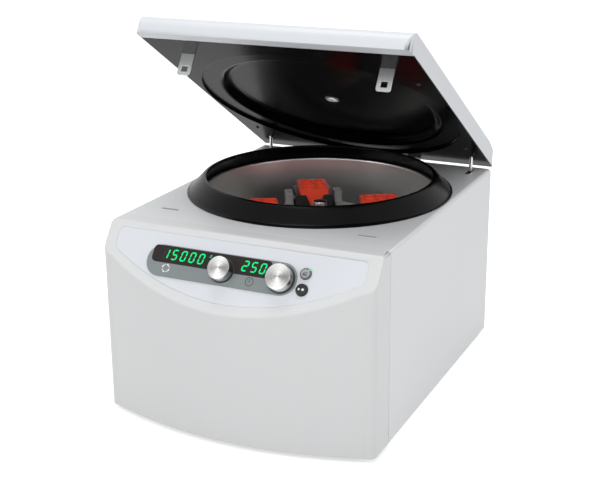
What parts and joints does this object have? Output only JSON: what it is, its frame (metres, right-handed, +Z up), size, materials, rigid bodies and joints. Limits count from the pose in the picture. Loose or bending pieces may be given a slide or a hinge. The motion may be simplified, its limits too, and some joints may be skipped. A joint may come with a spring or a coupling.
{
  "type": "benchtop laboratory centrifuge",
  "caption": "Benchtop laboratory centrifuge with a swing-out rotor, steel bowl, rubber lip seal, bowed front with slanted control panel and a hinged flat lid on gas struts.",
  "frame": {"origin": "middle of the overall footprint with the lid open, on the surface the feet stand on", "axes": "+X to the operator's right, +Y away from the operator, +Z up"},
  "size_m": [0.43, 0.5682, 0.577],
  "materials": {
    "light_moulding": "fine texture",
    "cover_paint": "powder coat",
    "lid_moulding": "fine texture",
    "panel_film": "printed film",
    "bezel_grey": "fine texture",
    "display_black": "tinted window",
    "black_gloss": "polished",
    "black_plastic": "moulded",
    "black_rubber": "matt",
    "brushed_steel": "brushed",
    "zinc_steel": "zinc plated",
    "bright_rod": "ground",
    "cast_grey": "cast, coated grey",
    "spun_aluminium": "spun",
    "adapter_red": "moulded",
    "clear_plastic": "clear",
    "button_grey": "moulded",
    "board_green": "solder resist"
  },
  "bodies": {
    "housing": {"base_tray": "zinc_steel", "folded_cover": "cover_paint", "front_moulding": "light_moulding", "control_panel": "panel_film", "display_bezel": "bezel_grey", "display_window": "display_black", "rear_panel": "cover_paint", "inlet_module": "black_plastic", "foot_front_left": "black_rubber", "foot_front_right": "black_rubber", "foot_rear_left": "black_rubber", "foot_rear_right": "black_rubber", "bowl": "brushed_steel", "lip_seal": "black_rubber", "guard_ring": "zinc_steel", "motor": "cast_grey", "damper_1": "black_rubber", "damper_2": "black_rubber", "damper_3": "black_rubber", "panel_board": "board_green", "power_unit": "zinc_steel", "encoder_speed": "zinc_steel", "encoder_time": "zinc_steel", "latch_unit_left": "black_plastic", "latch_unit_right": "black_plastic", "hinge_bracket_left": "zinc_steel", "hinge_bracket_right": "zinc_steel", "strut_foot_left": "zinc_steel", "strut_foot_right": "zinc_steel"},
    "lid": {"lid_shell": "lid_moulding", "lid_liner": "black_gloss", "peephole": "clear_plastic", "latch_strap_left": "brushed_steel", "latch_strap_right": "brushed_steel", "hinge_leaf_left": "zinc_steel", "hinge_leaf_right": "zinc_steel", "strut_stud_left": "zinc_steel", "strut_stud_right": "zinc_steel"},
    "strut_barrel_left": {"strut_cylinder_left": "black_gloss"},
    "strut_barrel_right": {"strut_cylinder_right": "black_gloss"},
    "strut_plunger_left": {"strut_rod_left": "bright_rod"},
    "strut_plunger_right": {"strut_rod_right": "bright_rod"},
    "rotor": {"spindle": "bright_rod", "rotor_cross": "cast_grey", "rotor_nut": "spun_aluminium"},
    "bucket_set_1": {"bucket_1": "black_plastic", "adapter_1": "adapter_red"},
    "bucket_set_2": {"bucket_2": "black_plastic", "adapter_2": "adapter_red"},
    "bucket_set_3": {"bucket_3": "black_plastic", "adapter_3": "adapter_red"},
    "bucket_set_4": {"bucket_4": "black_plastic", "adapter_4": "adapter_red"},
    "speed_dial": {"knob_speed": "spun_aluminium"},
    "time_dial": {"knob_time": "spun_aluminium"},
    "start_button": {"button_start": "black_plastic"},
    "lid_button": {"button_lid": "button_grey"},
    "mains_rocker": {"power_switch": "black_gloss"}
  },
  "joints": [
    {"name": "lid_hinge", "type": "hinge", "parent": "housing", "child": "lid", "pos_m": [0, 0.27313, 0.2875], "axis": [1, 0, 0], "range_deg": [0, 32.2], "deforming": ["lip_seal"]},
    {"name": "strut_swing_left", "type": "hinge", "parent": "housing", "child": "strut_barrel_left", "pos_m": [-0.1865, 0.22193, 0.047], "axis": [1, 0, 0], "range_deg": [0, 3.8]},
    {"name": "strut_slide_left", "type": "slide", "parent": "strut_barrel_left", "child": "strut_plunger_left", "axis": [0, 0.1097, 0.994], "range_m": [-0.0185, 0]},
    {"name": "strut_swing_right", "type": "hinge", "parent": "housing", "child": "strut_barrel_right", "pos_m": [0.1865, 0.22193, 0.047], "axis": [1, 0, 0], "range_deg": [0, 3.8]},
    {"name": "strut_slide_right", "type": "slide", "parent": "strut_barrel_right", "child": "strut_plunger_right", "axis": [0, 0.1097, 0.994], "range_m": [-0.0185, 0]},
    {"name": "rotor_spin", "type": "hinge", "parent": "housing", "child": "rotor", "pos_m": [0, 0.04993, 0.246], "axis": [0, 0, 1], "continuous": true},
    {"name": "bucket_swing_1", "type": "hinge", "parent": "rotor", "child": "bucket_set_1", "pos_m": [0.08314, 0.09989, 0.254], "axis": [0.515, -0.8572, 0], "range_deg": [0, 90]},
    {"name": "bucket_swing_2", "type": "hinge", "parent": "rotor", "child": "bucket_set_2", "pos_m": [-0.04996, 0.13308, 0.254], "axis": [0.8572, 0.515, 0], "range_deg": [0, 90]},
    {"name": "bucket_swing_3", "type": "hinge", "parent": "rotor", "child": "bucket_set_3", "pos_m": [-0.08314, -0.00003, 0.254], "axis": [-0.515, 0.8572, 0], "range_deg": [0, 90]},
    {"name": "bucket_swing_4", "type": "hinge", "parent": "rotor", "child": "bucket_set_4", "pos_m": [0.04996, -0.03321, 0.254], "axis": [-0.8572, -0.515, 0], "range_deg": [0, 90]},
    {"name": "speed_turn", "type": "hinge", "parent": "housing", "child": "speed_dial", "pos_m": [-0.014, -0.24674, 0.25329], "axis": [0, -0.8059, 0.592], "continuous": true},
    {"name": "time_turn", "type": "hinge", "parent": "housing", "child": "time_dial", "pos_m": [0.0775, -0.24645, 0.25369], "axis": [0, -0.8059, 0.592], "continuous": true},
    {"name": "start_press", "type": "slide", "parent": "housing", "child": "start_button", "axis": [0, 0.8059, -0.592], "range_m": [0, 0.0015], "stiffness_N_per_m": 600},
    {"name": "lid_press", "type": "slide", "parent": "housing", "child": "lid_button", "axis": [0, 0.8059, -0.592], "range_m": [0, 0.0015], "stiffness_N_per_m": 600},
    {"name": "mains_rock", "type": "hinge", "parent": "housing", "child": "mains_rocker", "pos_m": [0.135, 0.25973, 0.077], "axis": [1, 0, 0], "range_deg": [-14, 0]}
  ],
  "couplings": [
    {"joint": "strut_swing_left", "follows": "lid_hinge", "ratio": 0.11392},
    {"joint": "strut_slide_left", "follows": "lid_hinge", "m_per_rad": -0.032258},
    {"joint": "strut_swing_right", "follows": "lid_hinge", "ratio": 0.11392},
    {"joint": "strut_slide_right", "follows": "lid_hinge", "m_per_rad": -0.032258}
  ]
}
